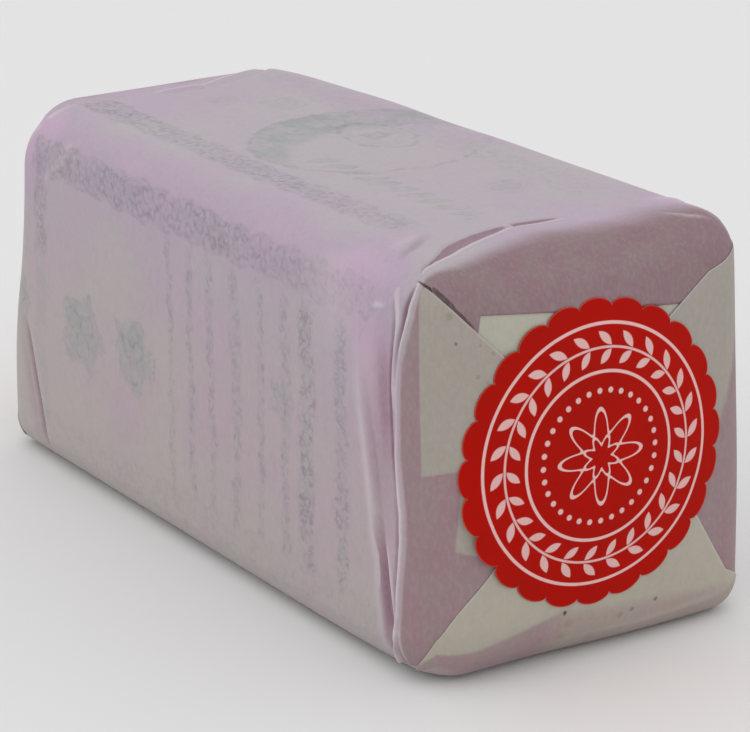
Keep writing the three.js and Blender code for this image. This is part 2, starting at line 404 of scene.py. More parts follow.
# Where it starts to: so far past the pleated sheet's hem, past the top's hem, less far past that below the
# pocket, and so far before an end that has no hem. DRAW_REACH further on it has drawn in fully.
PAST_FRONT_HEM = 3.4
PAST_TOP_HEM = 2.5
POCKET_SOONER = 3.3
BEFORE_END = 5.0
DRAW_REACH = 3.0


def under_flaps(places):
    """How far the smooth paper draws in below the flaps. It grows from nothing along the pack, and falls back
    to nothing inside the borders of an end, where the flaps hide it. The pleated sheet's share of it grows
    towards the front. All of them follow a smooth step."""
    near = np.where(places[..., :1] < 0, places * (-1, -1, 1), places)
    along, across, up = np.moveaxis(near, -1, 0)
    front = np.interp(up, GUSSET[:, 0], GUSSET[:, 2]) + PAST_FRONT_HEM
    top = np.interp(across, TOP_EDGE[:, 0], TOP_EDGE[:, 2]) + PAST_TOP_HEM - POCKET_SOONER * pocket(across)
    start = np.where(across <= -HALF[1], front, np.where(up >= HEIGHT, top, HALF[0] - BEFORE_END))
    from_border = np.minimum(HALF[1] - np.abs(across), np.minimum(up, HEIGHT - up))
    behind = np.where(along >= HALF[0], smooth_step(from_border, 2, 8), 0)
    amount = DRAWN_IN + PLEATS_IN * smooth_step(-across, HALF[1] - 9, HALF[1] - 1)
    amount += POCKET_IN * pocket(across) * smooth_step(up, HEIGHT - 5, HEIGHT)
    return amount * smooth_step(along - start, 0, DRAW_REACH) * (1 - behind) * above_rest(places)


def blush(places):
    """How pink, or below 0 how grey, the washes leave the paper: each fades from its line as a bell."""
    total = np.zeros(places.shape[:-1])
    for wash in WASHES:
        distance, _ = distance_to(places, wash.line)
        total += wash.pinker * np.exp(-((distance / wash.reach) ** 2))
    return total


# ---------------------------------------------------------------- meshes
END_NAMES = {1: "near", -1: "far"}


def faces_between(rows, columns, closed=False):
    """Quads of a grid of vertices, row after row; closed joins the last column to the first."""
    across = columns if closed else columns - 1
    row, column = np.meshgrid(np.arange(rows - 1), np.arange(across), indexing="ij")
    following = (column + 1) % columns
    corners = [row * columns + column, (row + 1) * columns + column]
    corners += [(row + 1) * columns + following, row * columns + following]
    return np.stack(corners, axis=-1).reshape(-1, 4)


def rim_wall(rim, count):
    """Quads that join a sheet's two faces along its rim, where the second face's vertices come count after
    those of the first."""
    after = np.roll(rim, -1)
    return np.stack([rim, rim + count, after + count, after], axis=-1)


def make_piece(name, points, faces, chart, traits, material):
    """A mesh from points in millimetres and lists of faces. chart holds a place on the flat print for each
    corner of each face, and traits a number for each vertex under each name."""
    mesh = bpy.data.meshes.new(name)
    mesh.from_pydata((points / METRE).tolist(), [], [face for group in faces for face in group.tolist()])
    layer = mesh.uv_layers.new(name="chart")
    layer.data.foreach_set("uv", np.concatenate([part.reshape(-1, 2) for part in chart]).ravel())
    for trait, values in traits.items():
        attribute = mesh.attributes.new(trait, "FLOAT", "POINT")
        attribute.data.foreach_set("value", values.ravel().astype(np.float32))
    mesh.shade_smooth()
    mesh.materials.append(material)
    piece = bpy.data.objects.new(name, mesh)
    bpy.context.scene.collection.objects.link(piece)
    return piece


def paper_traits(places):
    """What the paper's material reads at each vertex: the creases' painted highlight and shade, and the
    washes' pink.
    """
    return {"tone": creased(places, CREASES, "tone"), "blush": blush(places)}


FOLDS_FROM = 64.0  # along the pack, either way from its middle
FOLDS_TO = 82.0
MIDDLE_STEP = 2.5  # between the wrapper's rings, before its folds
FOLD_STEP = 0.45  # among them
EDGE_STEP = 0.8  # and after them
WALK_STEP = 0.55  # between places round a ring
UNDERSIDE_STEP = 5.0
WALK = np.concatenate([
    np.arange(0, HEIGHT + WIDTH, WALK_STEP),
    np.arange(HEIGHT + WIDTH, GIRTH - WIDTH, WALK_STEP),
    np.arange(GIRTH - WIDTH, GIRTH, UNDERSIDE_STEP),
])
# How far each ring on an end has shrunk to its middle. They lie close together along its borders.
CAP_SHARES = np.concatenate([np.arange(0.03, 0.29, 0.03), np.arange(0.3, 0.95, 0.1)])


def stations():
    """Places along the pack, close together where its folds are."""
    folds = np.arange(FOLDS_FROM, FOLDS_TO, FOLD_STEP)
    near = np.concatenate([folds, np.arange(FOLDS_TO, HALF[0], EDGE_STEP), [HALF[0]]])
    middle = np.arange(MIDDLE_STEP - FOLDS_FROM, FOLDS_FROM - MIDDLE_STEP, MIDDLE_STEP)
    return np.concatenate([-near[::-1], middle, near])


def wrapper_places():
    """The whole box as one closed grid: rings round the pack along its length, then rings that shrink by
    CAP_SHARES towards a point behind each seal. Gives the places, ring after ring, and the chart (along,
    walked round) of each."""
    across, up = walk_round(WALK)
    along = stations()
    sides = np.stack(np.broadcast_arrays(along[:, None], across, up), axis=-1)
    side_chart = np.stack(np.broadcast_arrays(along[:, None], WALK), axis=-1)

    def cap(end, shares):
        """Rings on one end, each the box's outline drawn in to the middle by its share, and their chart."""
        middle = np.array([end * SEAL_CENTRE[0], SEAL_CENTRE[1]])
        ring = np.stack([across, up], axis=-1)
        shrunk = middle + (ring - middle) * (1 - shares[:, None, None])
        x = np.full(shrunk.shape[:2] + (1,), end * HALF[0])
        past = end * (HALF[0] + shares[:, None] * HALF[1])
        return np.concatenate([x, shrunk], axis=-1), np.stack(np.broadcast_arrays(past, WALK), axis=-1)

    far, far_chart = cap(-1, CAP_SHARES[::-1])
    near, near_chart = cap(1, CAP_SHARES)
    return np.concatenate([far, sides, near]), np.concatenate([far_chart, side_chart, near_chart])


def wrapper(shift, material):
    """The paper round the pack, closed at a point in the middle of each end."""
    places, chart = wrapper_places()
    rings, steps = places.shape[:2]
    poles = np.array([(end * HALF[0], end * SEAL_CENTRE[0], SEAL_CENTRE[1]) for end in (-1, 1)])
    flat = np.concatenate([places.reshape(-1, 3), poles])
    quads = faces_between(rings, steps, closed=True)
    last = (rings - 1) * steps
    step = np.arange(steps)
    following = (step + 1) % steps
    far_fan = np.stack([np.full(steps, rings * steps), step, following], axis=-1)
    near_fan = np.stack([np.full(steps, rings * steps + 1), last + following, last + step], axis=-1)

    chart = np.concatenate([chart.reshape(-1, 2), [(-2 * HALF[0], 0), (2 * HALF[0], 0)]])
    charts = [chart[group] for group in (quads, far_fan, near_fan)]
    # where a ring closes, the walk round it goes on to the whole girth instead of back to 0
    seam = (quads % steps == 0) & ((quads % steps).max(axis=1, keepdims=True) == steps - 1)
    charts[0][seam] += (0, GIRTH)
    points = soften(flat, relief(flat) - under_flaps(flat)) + shift
    return make_piece("wrapper", points, [quads, far_fan, near_fan], charts, paper_traits(flat), material)


# A flap: the smooth lines it starts from, which are its hem and its fold or the fold alone; then straight
# rows across it to its tip, each from its right border to its left border as seen from its tip, as places
# (across, up) on the near end; its height off the end; the height of the crest along its fold; and, at its
# right and left borders, the distances from its fold between which its paper takes on the end's colour,
# which is darker partly as painted shade.
Flap = namedtuple("Flap", "folds rows lift crest turns")

# Hem and fold as places (across, up), which run past the near end's borders by their distance from the end.
TOP_FOLDS = [
    np.stack([TOP_EDGE[::-1, 0], HEIGHT + HALF[0] - TOP_EDGE[::-1, column]], axis=-1) for column in (2, 1)
]
LEFT_FOLDS = [
    np.stack([GUSSET[::-1, column] - HALF[1] - HALF[0], GUSSET[::-1, 0]], axis=-1) for column in (2, 1)
]
FLAPS = {
    "top": Flap(
        TOP_FOLDS,
        [[(42, 85), (-39, 85)], [(36, 67.2), (-26.7, 75.0), (-27.7, 70.5), (-31, 64)]],
        TOP_LIFT,
        0.25,
        ((3.0, 20.0), (1.5, 3.0)),
    ),
    "left": Flap(
        LEFT_FOLDS,
        [[(-39, 83.4), (-39, 3)], [(-17, 61.2), (-24, 25)], [(-6, 50.2), (-8, 42)]],
        SIDE_LIFT,
        0.75,
        ((0.9, 2.2), (0.9, 2.2)),
    ),
    "right": Flap(
        [[(47, 1), (48, 20), (47.5, 40), (48.3, 60), (46, 79)]],
        [[(39, 1), (39, 77.6)], [(20, 19), (27.6, 74.2)], [(8, 38), (2, 58)]],
        SIDE_LIFT,
        0.0,
        ((3, 12), (3, 12)),
    ),
    "bottom": Flap(
        [[(-47, -9), (0, -9.5), (43, -9)]],
        [
            [(-47, 1.5), (41, 6.2)],
            [(-37.9, 10.8), (31.6, 10.8)],
            [(-24, 26.5), (23.4, 24.3)],
            [(-8, 44), (9, 46)],
        ],
        BOTTOM_LIFT,
        0.0,
        ((2, 9), (2, 9)),
    ),
}
FLAP_COLUMNS = 150
PLEAT_STEPS = 66  # rows from the hem to the fold
FOLD_STEPS = 34  # rows from the fold to the next line
ROW_STEP = 0.9  # between the rows after that
FOLD_CROWDING = 1.6  # how much closer the rows lie at the fold
HEM_REACH = 2.5  # over which a sheet rises out of the paper below it
HEM_SKIN = 0.06  # height of the pleated paper over the smooth
HEM_SUNK = 0.4  # depth of a sheet's first line in the smooth paper
LIFT_REACH = 6.0  # from the fold to where a flap has its full height
POCKET_DEPTH = 0.35
# Painted shade in the pocket behind the top fold.
POCKET_TONE = -1.15
CREST_WIDTH = 0.65
# Painted highlight along the crest of a fold, by flap.
CREST_TONES = {"top": 0.55, "left": 0.9}
CREST_LINE = 0.35  # from the fold to the middle of the crest's painted highlight
CREST_LINE_WIDTH = 0.4
TOP_CREST_FADES = (4, 26)  # across the top
LEFT_CREST_DIP = 0.55  # share that the left fold's crest loses
LEFT_DIP_HEIGHT = 55
LEFT_DIP_REACH = 9
NO_BORDER = 9.0  # millimetres from a border, before the fold

# A flap's grid of places (across, up), with each one's distance from the hem, its distance past the fold,
# or below 0 before it, its distance from the free edge, and its share of the way from the right border to
# the left.
Sheet = namedtuple("Sheet", "grid from_hem past_fold from_edge share")


def smooth_curve(points, shares):
    """Places at shares of a smooth curve through the points: cubic pieces whose slope at each point is that
    between its neighbours."""
    points = np.array(points, float)
    slopes = np.gradient(points, axis=0)
    at = np.clip(shares, 0, 1) * (len(points) - 1)
    leg = np.minimum(at.astype(int), len(points) - 2)
    t = (at - leg)[:, None]
    start, stop = points[leg], points[leg + 1]
    bend = (2 * t - 1) * (stop - start) - t * slopes[leg + 1] - (t - 1) * slopes[leg]
    return start + t * (stop - start) + t * (t - 1) * bend


def straight_row(points, shares):
    """Places at shares of the length of a line of straight legs."""
    points = np.array(points, float)
    legs = np.linalg.norm(np.diff(points, axis=0), axis=1)
    reached = np.concatenate([[0], np.cumsum(legs)]) / legs.sum()
    return np.stack([np.interp(shares, reached, points[:, axis]) for axis in (0, 1)], axis=-1)


def flap_places(flap):
    """A flap's sheet, its columns closest at its two borders and its rows at the fold."""
    share = 0.5 - 0.5 * np.cos(np.linspace(0, math.pi, FLAP_COLUMNS))
    lines = [smooth_curve(line, share) for line in flap.folds]
    lines += [straight_row(row, share) for row in flap.rows]
    fold = len(flap.folds) - 1
    grid = [lines[0]]
    for index, (start, stop) in enumerate(zip(lines[:-1], lines[1:])):
        length = np.linalg.norm(stop - start, axis=-1).max()
        if index > fold:
            steps = int(length / ROW_STEP)
        else:
            steps = FOLD_STEPS if index == fold else PLEAT_STEPS
        shares = np.arange(1, steps + 1) / steps
        shares = shares**FOLD_CROWDING if index == fold else shares
        grid += [start + part * (stop - start) for part in shares]
    grid = np.array(grid)
    before = np.arange(len(grid)) < fold * PLEAT_STEPS
    past_fold = np.linalg.norm(grid - lines[fold], axis=-1) * np.where(before, -1, 1)[:, None]
    from_hem = np.linalg.norm(grid - grid[0], axis=-1)
    from_edge, _ = distance_to(grid, np.concatenate([grid[:, 0], grid[-1, 1:-1], grid[::-1, -1]]))
    return Sheet(grid, from_hem, past_fold, from_edge, np.broadcast_to(share, from_hem.shape))


def crest_share(name, sheet):
    """How much of its crest a fold has: along the top it fades out towards the back, and beside the second
    pleat on the front it stands lower."""
    across, up = np.moveaxis(sheet.grid, -1, 0)
    if name == "top":
        return 1 - smooth_step(across, *TOP_CREST_FADES)
    return 1 - LEFT_CREST_DIP * np.exp(-(((up - LEFT_DIP_HEIGHT) / LEFT_DIP_REACH) ** 2))


def hollow_share(name, end, sheet):
    """Where the sheet falls into a pocket: behind the near end's top fold."""
    return pocket(sheet.grid[..., 0]) if name == "top" and end > 0 else 0.0


def flap_height(name, end, flap, sheet):
    """Height of a flap over the smooth paper. It rises out of that paper at its hem, to a crest at its
    fold, and then to its own height; behind the top's fold it falls by a sine into the pocket."""
    hollow = hollow_share(name, end, sheet)
    skin = HEM_SKIN if len(flap.folds) > 1 else 0.0
    lift = skin + (flap.lift - skin) * np.clip(sheet.past_fold / LIFT_REACH, 0, 1)
    crest = np.exp(-(((sheet.past_fold - CREST_WIDTH / 2) / CREST_WIDTH) ** 2))
    lift += flap.crest * crest_share(name, sheet) * crest
    sink = np.exp(-((sheet.from_hem / HEM_REACH) ** 2)) * (1 - hollow)
    before = np.maximum(0, -sheet.past_fold)
    between = before / np.maximum(before + sheet.from_hem, 1e-6)
    return lift * (1 - sink) - HEM_SUNK * sink - POCKET_DEPTH * hollow * np.sin(math.pi * between)


def flap_tone(name, end, flap, sheet):
    """The painted highlight on the crest along a fold, and the painted shade in the pocket behind it."""
    if not flap.crest:
        return 0.0
    crest = np.exp(-(((sheet.past_fold - CREST_LINE) / CREST_LINE_WIDTH) ** 4)) * crest_share(name, sheet)
    floor = smooth_step(sheet.from_hem, 0.15, 0.6) * smooth_step(-sheet.past_fold, 0.1, 0.4)
    return CREST_TONES[name] * crest + POCKET_TONE * floor * hollow_share(name, end, sheet)


def flap_piece(name, end, shift, material):
    """One flap as a closed sheet of paper: its outer face at the flap's height over the creased paper, and
    its inner face one thickness below."""
    flap = FLAPS[name]
    sheet = flap_places(flap)
    near = on_end(sheet.grid[..., 0], sheet.grid[..., 1])
    places = near * (end, end, 1)
    pleated = creased(near, PLEATS[name], "height") * above_rest(near)
    height = relief(places) + pleated + flap_height(name, end, flap, sheet)
    outer = soften(places, height)
    inner = soften(places, height - PAPER_THICKNESS)

    rows, columns = sheet.grid.shape[:2]
    count = rows * columns
    front = faces_between(rows, columns)[:, ::-1]
    index = np.arange(count).reshape(rows, columns)
    rim = np.concatenate([index[0, :-1], index[:-1, -1], index[-1, :0:-1], index[:0:-1, 0]])
    faces = [front, front[:, ::-1] + count, rim_wall(rim, count)]
    flat_chart = np.concatenate([sheet.grid.reshape(-1, 2)] * 2)
    points = np.concatenate([outer.reshape(-1, 3), inner.reshape(-1, 3)]) + shift

    (right_low, right_high), (left_low, left_high) = flap.turns
    low = right_low + (left_low - right_low) * sheet.share
    high = right_high + (left_high - right_high) * sheet.share
    traits = paper_traits(places)
    # painted highlight and shade of the pleats, and of the fold's crest and pocket
    traits["tone"] += creased(near, PLEATS[name], "tone", 4) + flap_tone(name, end, flap, sheet)
    # distance from the free edge, along which the material paints a highlight
    traits["border"] = np.where(sheet.past_fold > 0, sheet.from_edge, NO_BORDER)
    # how far the paper has taken on the end's colour, a gradient that is partly painted shade where it curves
    # over the edge
    traits["turn"] = smooth_step(sheet.past_fold, low, high)
    traits = {trait: np.concatenate([values.ravel()] * 2) for trait, values in traits.items()}
    charts = [flat_chart[group] for group in faces]
    return make_piece(f"flap_{name}_{END_NAMES[end]}", points, faces, charts, traits, material)


SEAL_RINGS = 34
SEAL_STEPS = SCALLOPS * 20
RING_CROWDING = 1.5  # how much closer the rings lie at the rim
# The seal lies on the flap below its middle, and on whichever flap is below its rim. It passes from the one
# height to the other between these shares of its radius. RIM_LAYERS gives the second by angle from the
# right.
MIDDLE_SHARE = 0.55
RIM_SHARE = 0.95
RIM_ANGLES = np.radians([-153, -143, -36, -26, 56, 68, 120, 130])
RIM_LAYERS = [SIDE_LIFT, BOTTOM_LIFT, BOTTOM_LIFT, SIDE_LIFT, SIDE_LIFT, TOP_LIFT, TOP_LIFT, SIDE_LIFT]
# Where its rim has come unstuck: the middle of that stretch, its half width in radians, its height and how
# steeply it rises towards the rim.
LOOSE_ANGLE = math.radians(203)
LOOSE_SPREAD = 0.32
LOOSE_RISE = 1.1
LOOSE_POWER = 10


def seal_edge(angle):
    """Radius of the seal's edge: round lobes that meet in cusps."""
    lobe = SCALLOPS * (angle - SEAL_TURN) / 2
    return SEAL_RADIUS + SCALLOP_RISE * np.sqrt(np.abs(np.sin(lobe)))


def seal_piece(end, shift, material):
    """A seal as a closed scalloped sheet: rings of shares of the edge's radius round a middle point, on the
    layers below it, with one stretch of its rim lifted."""
    angle = np.arange(SEAL_STEPS) * 2 * math.pi / SEAL_STEPS + SEAL_TURN
    share = (1 - (1 - np.arange(1, SEAL_RINGS + 1) / SEAL_RINGS) ** RING_CROWDING)[:, None]
    radius = share * seal_edge(angle)
    spokes = np.stack([radius * np.cos(angle), radius * np.sin(angle)], axis=-1)
    chart = np.concatenate([[(0, 0)], spokes.reshape(-1, 2)])
    layer = np.interp(angle, RIM_ANGLES, RIM_LAYERS, period=2 * math.pi)
    from_loose = np.angle(np.exp(1j * (angle - LOOSE_ANGLE)))
    loose = LOOSE_RISE * np.exp(-((from_loose / LOOSE_SPREAD) ** 2)) * share**LOOSE_POWER
    outwards = np.clip((share - MIDDLE_SHARE) / (RIM_SHARE - MIDDLE_SHARE), 0, 1)
    lift = BOTTOM_LIFT + (layer - BOTTOM_LIFT) * outwards + loose
    lift = np.concatenate([[BOTTOM_LIFT], lift.ravel()]) + SEAL_GAP
    places = on_end(chart[:, 0] + SEAL_CENTRE[0], chart[:, 1] + SEAL_CENTRE[1]) * (end, end, 1)
    height = relief(places) + lift
    points = np.concatenate([soften(places, height + SEAL_THICKNESS), soften(places, height)]) + shift

    count = len(chart)
    quads = faces_between(SEAL_RINGS, SEAL_STEPS, closed=True) + 1
    step = np.arange(SEAL_STEPS)
    fan = np.stack([np.zeros(SEAL_STEPS, int), 1 + step, 1 + (step + 1) % SEAL_STEPS], axis=-1)
    wall = rim_wall(1 + (SEAL_RINGS - 1) * SEAL_STEPS + step, count)
    faces = [quads, quads[:, ::-1] + count, fan, fan[:, ::-1] + count, wall]
    double = np.concatenate([chart, chart])
    charts = [double[group] for group in faces]
    inset = np.concatenate([[SEAL_RADIUS], (seal_edge(angle) - radius).ravel()])
    traits = {"border": np.concatenate([inset, inset])}
    return make_piece(f"seal_paper_{END_NAMES[end]}", points, faces, charts, traits, material)


# ---------------------------------------------------------------- materials
PAPER_CRUMPLE = 0.15


def math_node(operation, swapped=False):
    """A method of Value that adds one Math node, with the Value itself first or, swapped, last."""

    def method(value, *others):
        terms = (*others, value) if swapped else (value, *others)
        node = value.paint.add("ShaderNodeMath", {"operation": operation}, dict(enumerate(terms)))
        return Value(value.paint, node.outputs[0])

    return method


class Value:
    """A socket that carries a number. Python's operators on it add Math nodes."""

    __add__ = math_node("ADD")
    __radd__ = math_node("ADD", swapped=True)
    __sub__ = math_node("SUBTRACT")
    __rsub__ = math_node("SUBTRACT", swapped=True)
    __mul__ = math_node("MULTIPLY")
    __rmul__ = math_node("MULTIPLY", swapped=True)
    __truediv__ = math_node("DIVIDE")
    __rtruediv__ = math_node("DIVIDE", swapped=True)
    __mod__ = math_node("FLOORED_MODULO")
    __rmod__ = math_node("FLOORED_MODULO", swapped=True)
    __abs__ = math_node("ABSOLUTE")
    most = math_node("MAXIMUM")
    cosine = math_node("COSINE")
    sine = math_node("SINE")
    root = math_node("SQRT")
    angle_over = math_node("ARCTAN2")  # the angle of the point (other, self)

    def __init__(self, paint, socket):
        self.paint = paint
        self.socket = socket

    def ramp(self, low, high):
        """From 0 at low to 1 at high, smoothly; low may be the larger."""
        sockets = {"Value": self, "From Min": low, "From Max": high}
        node = self.paint.add("ShaderNodeMapRange", {"interpolation_type": "SMOOTHSTEP"}, sockets)
        return Value(self.paint, node.outputs["Result"])

    def line(self, half_width, soft):
        """1 within half_width of zero, falling to 0 over soft beyond it."""
        return abs(self).ramp(half_width + soft, half_width)


class Paint:
    """One material's nodes. add() makes any of them, its settings first."""

    def __init__(self, name):
        self.material = bpy.data.materials.new(name)
        self.material.use_nodes = True
        self.tree = self.material.node_tree
        self.tree.nodes.clear()

    def add(self, kind, settings=None, sockets=None):
        """A node of that type. Its sockets go by name or number, and each takes a value or a link."""
        node = self.tree.nodes.new(kind)
        for key, value in (settings or {}).items():
            setattr(node, key, value)
        for key, value in (sockets or {}).items():
            socket = node.inputs[key] if isinstance(key, int) else self._enabled(node, key)
            if isinstance(value, Value):
                value = value.socket
            if isinstance(value, bpy.types.NodeSocket):
                self.tree.links.new(value, socket)
            elif isinstance(value, tuple) and socket.type == "RGBA":
                socket.default_value = (*value, 1.0)
            else:
                socket.default_value = value
        return node

    @staticmethod
    def _enabled(node, name):
        """The input of that name which the node's settings leave in use."""
        return next(socket for socket in node.inputs if socket.name == name and socket.enabled)

    def chart(self):
        """The two numbers of the piece's own chart."""
        chart = self.add("ShaderNodeUVMap", {"uv_map": "chart"}).outputs[0]
        parts = self.add("ShaderNodeSeparateXYZ", None, {0: chart})
        return Value(self, parts.outputs[0]), Value(self, parts.outputs[1])

    def trait(self, name):
        """A number that the piece holds at each vertex."""
        return Value(self, self.add("ShaderNodeAttribute", {"attribute_name": name}).outputs["Fac"])

    def place(self, stretch=(1.0, 1.0, 1.0)):
        """Object coordinates in millimetres, stretched."""
        coordinates = self.add("ShaderNodeTexCoord").outputs["Object"]
        scale = tuple(METRE / amount for amount in stretch)
        return self.add("ShaderNodeMapping", None, {"Vector": coordinates, "Scale": scale}).outputs[0]

    def above_underside(self):
        """Height over the underside in millimetres."""
        return Value(self, self.add("ShaderNodeSeparateXYZ", None, {0: self.place()}).outputs[2])

    def noise(self, size, detail=2.0, stretch=(1.0, 1.0, 1.0), roughness=0.5):
        """Clouds from 0 to 1 whose lumps are about size millimetres."""
        sockets = {"Vector": self.place(stretch), "Scale": 1 / size, "Detail": detail, "Roughness": roughness}
        return Value(self, self.add("ShaderNodeTexNoise", None, sockets).outputs[0])

    def blend(self, share, under, over):
        """Colour under, covered by colour over as far as share says."""
        settings = {"data_type": "RGBA", "clamp_factor": True}
        node = self.add("ShaderNodeMix", settings, {"Factor": share, "A": under, "B": over})
        return next(socket for socket in node.outputs if socket.enabled)

    def finish(self, colour, roughness, height, depth, specular=0.35):
        """The surface itself. height runs from 0 to 1 over depth millimetres."""
        sockets = {"Strength": 1.0, "Distance": depth / METRE, "Height": height}
        bump = self.add("ShaderNodeBump", None, sockets).outputs[0]
        surface = self.add("ShaderNodeBsdfPrincipled", None, {
            "Base Color": colour,
            "Roughness": roughness,
            "Specular IOR Level": specular,
            "Normal": bump,
        })
        self.add("ShaderNodeOutputMaterial", None, {0: surface.outputs[0]})
        return self.material


def paper_colour(paint):
    """The paper's colour: grey-beige, lilac and pink in slow clouds and washes, with a painted cast of light
    that is cooler on top and warmer low down."""
    drift = paint.trait("blush") + paint.noise(38, 1) + paint.noise(11, 2) - 1.0
    colour = paint.blend(drift.ramp(-0.75, 0.15), STALE, LILAC)
    colour = paint.blend(drift.ramp(0.0, 0.85), colour, PINK)
    # painted cast of light: cool where the sky lights the top, warmer low down
    tint = paint.blend(paint.above_underside().ramp(30, 80), WARM_TINT, COOL_TINT)
    return paint.blend(TINT_SHARE, colour, tint)


def folded(paint, colour):
    """The colour with the painted light of creases and pleats: a painted highlight on their crests,
    painted shade in their folds, and a near black painted shadow in the gaps between papers.
    """
    crease_light = paint.trait("tone") * (0.85 + paint.noise(2.5, 2) * 0.3)
    # painted highlight where the tone is above 0, painted shade below 0, painted shadow below -1.5
    colour = paint.blend(crease_light * 0.9, colour, PAINTED_HIGHLIGHT)
    colour = paint.blend(crease_light * -0.8, colour, PAINTED_FOLD_SHADE)
    return paint.blend(crease_light.ramp(-1.5, -2.2), colour, PAINTED_GAP_SHADOW)


def within(value, low, high, soft=1.0):
    """1 where value lies between low and high."""
    return value.ramp(low - soft, low) * value.ramp(high + soft, high)


def spot(along, off):
    """Distance from the place where both are 0."""
    return (along * along + off * off).root()


# A print shows through the paper as dark outlines and as a soft haze of its filled shapes, each 0 where it
# has none.
Print = namedtuple("Print", "outline haze")


def over(first, *others):
    """Several prints in one."""
    outline, haze = first
    for other in others:
        outline = outline.most(other.outline)
        haze = haze.most(other.haze)
    return Print(outline, haze)


def faded(shown, share):
    """A print as far as share says."""
    return Print(shown.outline * share, shown.haze * share)


ROSE_PITCH = 10.6  # between the roses of a border


def rose_chain(along, off):
    """A border of open roses with a curl in each gap between them and a scalloped rim; off is the distance
    from its middle line."""
    local = along % ROSE_PITCH - ROSE_PITCH / 2
    gap = (along + ROSE_PITCH / 2) % ROSE_PITCH - ROSE_PITCH / 2
    angle = off.angle_over(local)
    radius = spot(local, off)
    petals = (radius - 2.9 - (angle * 5).cosine() * 0.7).line(0.2, 0.7) * 0.95
    heart = (radius - 1.2).line(0.15, 0.6) * 0.8
    curls = (spot(gap, abs(off) - 2.3) - 1.3).line(0.15, 0.7) * 0.8
    edge = abs((along * (math.pi / ROSE_PITCH)).cosine()) + 3.4
    rim = (abs(off) - edge).line(0.1, 0.7) * 0.5
    fill = (abs(off) - edge).ramp(0.9, -0.9)
    scribble = (along.paint.noise(3.4, 3, roughness=0.6) - 0.5).line(0.015, 0.05) * fill * 0.6
    return Print(petals.most(heart).most(curls).most(rim).most(scribble), fill * 0.5)


def vine_column(off, up, width, pitch):
    """A narrow upright vine: a waving stem with a leaf bud at each bend, among tendrils; off is the
    distance from its middle line."""
    sway = (up * (2 * math.pi / pitch)).sine()
    stem = (off - sway * width * 0.4).line(0.15, 0.6) * 0.7
    bud = (off + sway * width * 0.5).line(0.3, 0.6) * abs(sway).ramp(0.75, 0.95)
    tendrils = (off.paint.noise(2.6, 3, roughness=0.6) - 0.5).line(0.02, 0.06)
    tendrils = tendrils * abs(off).ramp(width, width * 0.4)
    return Print(stem.most(bud).most(tendrils * 0.9), abs(off).ramp(width, 0.2) * 0.6)


def blossom(along, off, reach):
    """A soft round flower, its petals curled inwards."""
    ragged = (along.paint.noise(5, 2) - 0.5) * reach
    radius = spot(along, off) + ragged
    angle = off.angle_over(along)
    edge = reach * 0.95 + (angle * 5).cosine() * (reach * 0.1)
    curl = (radius - reach * 0.5 - (angle * 3).sine() * (reach * 0.2)).line(0.15, 0.5)
    return Print(((radius - edge).line(0.1, 0.6) * 0.4).most(curl * 0.7), (radius - edge).ramp(1.2, -1.6))


def blossoms(along, off, *flowers):
    """Several blossoms, each given by its place along and off and by its reach."""
    return over(*(blossom(along - place, off - aside, reach) for place, aside, reach in flowers))


def leaf_row(along, off, pitch, reach):
    """A row of slanting pointed leaves."""
    local = (along - off * 0.5) % pitch - pitch / 2
    past_edge = abs(local) - (1 - (off / reach) * (off / reach)).most(0.0) * (pitch * 0.3)
    leaves = Print(past_edge.line(0.1, 0.4) * 0.7, past_edge.ramp(0.5, -0.4))
    return faded(leaves, within(off, -reach, reach, 0.5))


# The upright vines: where each stands along the pack, how wide it is, how far apart its buds are and its
# strength.
VINES = (
    (-8.5, 1.6, 7.0, 0.52),
    (0.5, 2.0, 9.0, 0.63),
    (9.0, 1.8, 6.0, 0.575),
    (19.0, 2.6, 10.0, 0.69),
    (29.0, 1.8, 7.5, 0.52),
    (38.5, 2.4, 6.5, 0.63),
    (47.0, 4.2, 8.5, 0.98),
    (60.0, 3.2, 5.0, 0.86),
)


def tall_print(along, up):
    """What shows through on the two high sides: a border round three of their edges, blossoms and upright
    vines."""
    inside = within(along, -73, 72, 2)
    top = faded(rose_chain(along, up - 74.8), inside * along.ramp(90, 10).most(0.55))
    bottom = faded(rose_chain(along, up - 9.5), inside * 0.25)
    left = rose_chain(up, (along + 70.0) * 1.5)
    left = Print(left.outline * within(up, 55, 76, 5) * 0.8, left.haze * within(up, 12, 72, 8))
    flowers = blossoms(along, up, (-50, 37.5, 9.0), (-25.5, 38, 8.5), (37, 46, 4.0))
    flowers = over(Print(flowers.outline, flowers.haze * 1.35), blossom(along + 84, up - 37, 7.0))
    shown = over(top, bottom, left, flowers)
    for middle, width, pitch, strength in VINES:
        vine = vine_column(along - middle, up, width, pitch)
        shown = over(shown, faded(vine, within(up, 15, 66, 5) * strength))
    return shown


CRESCENT = (-5.0, 10.0)  # the middle of its outer edge, along and across
CRESCENT_RADIUS = 26.5
CRESCENT_DEPTH = 15.0
OVAL = (-8.0, 14.0)  # its middle, along and across


